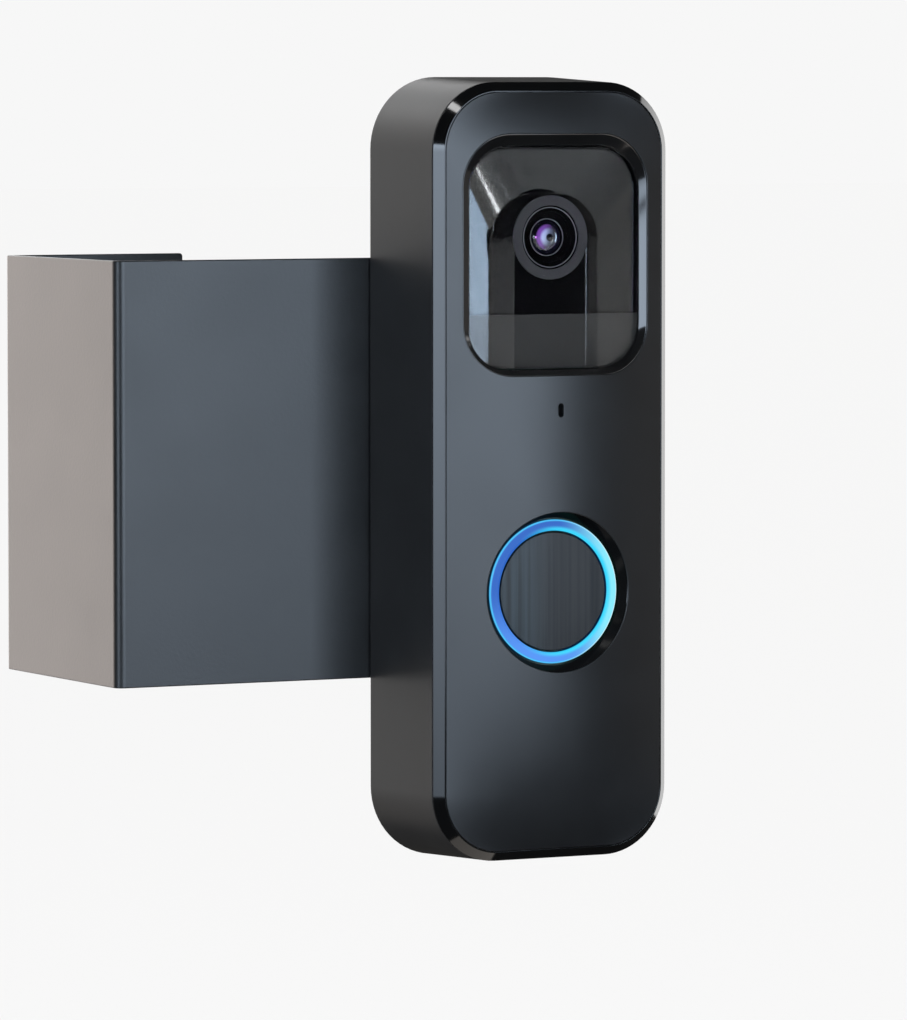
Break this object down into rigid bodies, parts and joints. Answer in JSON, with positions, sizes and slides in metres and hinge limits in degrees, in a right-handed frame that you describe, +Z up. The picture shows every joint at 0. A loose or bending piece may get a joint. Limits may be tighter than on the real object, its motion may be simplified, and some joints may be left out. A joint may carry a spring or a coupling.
{
  "type": "video doorbell on a clamp-on door bracket",
  "caption": "Battery video doorbell with a crowned black face, camera window and lit push button, hung on a bent steel bracket that clamps round a door's edge.",
  "frame": {"origin": "centre of the front pad's door-side face behind the doorbell, where the bracket rests on the door's outer face", "axes": "+Z up along the doorbell's long side, -Y outward to the visitor, +Y into the door, +X to the visitor's right"},
  "size_m": [0.0914, 0.0794, 0.13],
  "materials": {
    "bracket_paint": "satin powder coat",
    "foam_pad": "fine-celled foam",
    "shell_satin": "satin moulded",
    "face_satin": "satin with a polished chamfer",
    "trim_gloss": "piano black",
    "window_glass": "clear and polished",
    "motion_film": "smoked translucent",
    "lens_glass": "coated, with violet and blue reflections",
    "sensor_glass": "polished",
    "lens_ring_grey": "satin",
    "light_diffuser": "lit blue diffuser",
    "button_satin": "satin with a fine vertical grain",
    "inner_plastic": "moulded",
    "silicone": "matte",
    "circuit_board": "solder resist",
    "screw_steel": "zinc plated",
    "contact_copper": "plated",
    "cell_wrap": "printed sleeve without print"
  },
  "bodies": {
    "bracket": {"bracket_sheet": "bracket_paint", "door_face_pad": "foam_pad", "door_edge_pad": "foam_pad", "mounting_plate": "inner_plastic", "plate_screw_lower": "screw_steel", "plate_screw_upper": "screw_steel"},
    "clamp": {"pressure_pad": "foam_pad", "pressure_plate": "bracket_paint"},
    "upper_screw": {"clamp_screw_upper": "screw_steel"},
    "lower_screw": {"clamp_screw_lower": "screw_steel"},
    "latch": {"release_latch": "inner_plastic"},
    "unit": {"main_housing": "shell_satin", "front_cover": "face_satin", "cover_screw_1": "screw_steel", "cover_screw_2": "screw_steel", "cover_screw_3": "screw_steel", "cover_screw_4": "screw_steel", "window_bezel": "trim_gloss", "camera_window": "window_glass", "motion_window": "motion_film", "camera_hood": "trim_gloss", "lens_ring": "lens_ring_grey", "lens_barrel": "trim_gloss", "front_lens": "lens_glass", "inner_lens": "lens_glass", "lens_holder": "inner_plastic", "image_sensor": "sensor_glass", "camera_board": "circuit_board", "motion_sensor": "screw_steel", "button_bezel": "trim_gloss", "light_ring": "light_diffuser", "light_board": "circuit_board", "switch_body": "screw_steel", "main_board": "circuit_board", "microphone": "screw_steel", "microphone_boot": "silicone", "flex_cable": "contact_copper", "speaker": "inner_plastic", "battery_tray": "inner_plastic", "battery_left": "cell_wrap", "battery_right": "cell_wrap", "contact_bridge": "contact_copper", "contact_spring_left": "contact_copper", "contact_spring_right": "contact_copper", "back_cover": "inner_plastic", "back_gasket": "silicone", "terminal_screw_left": "contact_copper", "terminal_screw_right": "contact_copper", "sync_switch": "screw_steel"},
    "button": {"button_cap": "button_satin"},
    "plunger": {"switch_plunger": "inner_plastic"},
    "sync": {"sync_button": "silicone"}
  },
  "joints": [
    {"name": "clamp_slide", "type": "slide", "parent": "bracket", "child": "clamp", "axis": [0, 1, 0], "range_m": [-0.004, 0.0006]},
    {"name": "upper_screw_turn", "type": "hinge", "parent": "clamp", "child": "upper_screw", "pos_m": [-0.052, 0.0475, 0.02], "axis": [0, 1, 0], "range_deg": [-2160, 420]},
    {"name": "lower_screw_turn", "type": "hinge", "parent": "clamp", "child": "lower_screw", "pos_m": [-0.052, 0.0475, -0.02], "axis": [0, 1, 0], "range_deg": [-2160, 420]},
    {"name": "latch_lift", "type": "slide", "parent": "bracket", "child": "latch", "axis": [0, 0, 1], "range_m": [0, 0.0015], "stiffness_N_per_m": 400, "springref_m": -0.0005},
    {"name": "unit_tilt", "type": "hinge", "parent": "bracket", "child": "unit", "pos_m": [0, -0.0036, 0.062], "axis": [-1, 0, 0], "range_deg": [0, 30]},
    {"name": "button_press", "type": "slide", "parent": "unit", "child": "button", "axis": [0, 1, 0], "range_m": [0, 0.0004], "stiffness_N_per_m": 4000, "springref_m": -0.0001},
    {"name": "plunger_press", "type": "slide", "parent": "unit", "child": "plunger", "axis": [0, 1, 0], "range_m": [0, 0.0004]},
    {"name": "sync_press", "type": "slide", "parent": "unit", "child": "sync", "axis": [0, -1, 0], "range_m": [0, 0.0004], "stiffness_N_per_m": 1500, "springref_m": -0.0001}
  ],
  "couplings": [
    {"joint": "upper_screw_turn", "follows": "clamp_slide", "rad_per_m": 8976},
    {"joint": "lower_screw_turn", "follows": "clamp_slide", "rad_per_m": 8976},
    {"joint": "plunger_press", "follows": "button_press", "ratio": 1}
  ]
}
